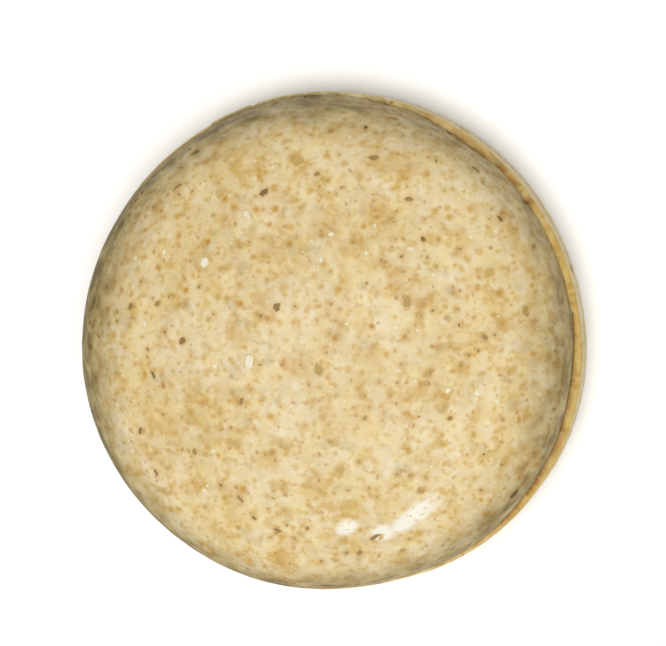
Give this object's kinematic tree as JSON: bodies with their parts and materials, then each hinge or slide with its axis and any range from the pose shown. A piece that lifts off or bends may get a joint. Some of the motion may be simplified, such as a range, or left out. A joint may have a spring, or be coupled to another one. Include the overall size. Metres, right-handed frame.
{
  "type": "shaving soap puck",
  "caption": "Round domed puck of speckled shaving soap with a flat base, a short straight band and a narrow ledge at the dome's foot.",
  "frame": {"origin": "centre of the flat base, on the surface that the puck lies on", "axes": "+Z along the puck's axis from the flat base to the dome; +X towards the side where the ledge is wide, 28 degrees from its widest place"},
  "size_m": [0.07, 0.07, 0.023],
  "materials": {
    "soap": "pressed soap, waxy satin",
    "husk": "dry plant husk, matt",
    "bran": "soaked bran, matt",
    "crumb": "unmixed soap stock, waxy satin"
  },
  "bodies": {
    "root": {"bran_granule_01": "bran", "bran_granule_02": "bran", "bran_granule_03": "bran", "bran_granule_04": "bran", "bran_granule_05": "bran", "bran_granule_06": "bran", "bran_granule_07": "bran", "bran_granule_08": "bran", "bran_granule_09": "bran", "bran_granule_10": "bran", "bran_granule_11": "bran", "bran_granule_12": "bran", "bran_granule_13": "bran", "bran_granule_14": "bran", "bran_granule_15": "bran", "bran_granule_16": "bran", "husk_fleck_01": "husk", "husk_fleck_02": "husk", "husk_fleck_03": "husk", "husk_fleck_04": "husk", "husk_fleck_05": "husk", "husk_fleck_06": "husk", "husk_fleck_07": "husk", "husk_fleck_08": "husk", "husk_fleck_09": "husk", "husk_fleck_10": "husk", "husk_fleck_11": "husk", "husk_fleck_12": "husk", "husk_fleck_13": "husk", "husk_fleck_14": "husk", "husk_fleck_15": "husk", "husk_fleck_16": "husk", "husk_fleck_17": "husk", "husk_fleck_18": "husk", "husk_fleck_19": "husk", "husk_fleck_20": "husk", "husk_fleck_21": "husk", "husk_fleck_22": "husk", "husk_fleck_23": "husk", "husk_fleck_24": "husk", "husk_fleck_25": "husk", "husk_fleck_26": "husk", "husk_fleck_27": "husk", "husk_fleck_28": "husk", "husk_fleck_29": "husk", "husk_fleck_30": "husk", "husk_fleck_31": "husk", "husk_fleck_32": "husk", "husk_fleck_33": "husk", "husk_fleck_34": "husk", "soap_body": "soap", "soap_crumb_01": "crumb", "soap_crumb_02": "crumb", "soap_crumb_03": "crumb"}
  },
  "joints": []
}
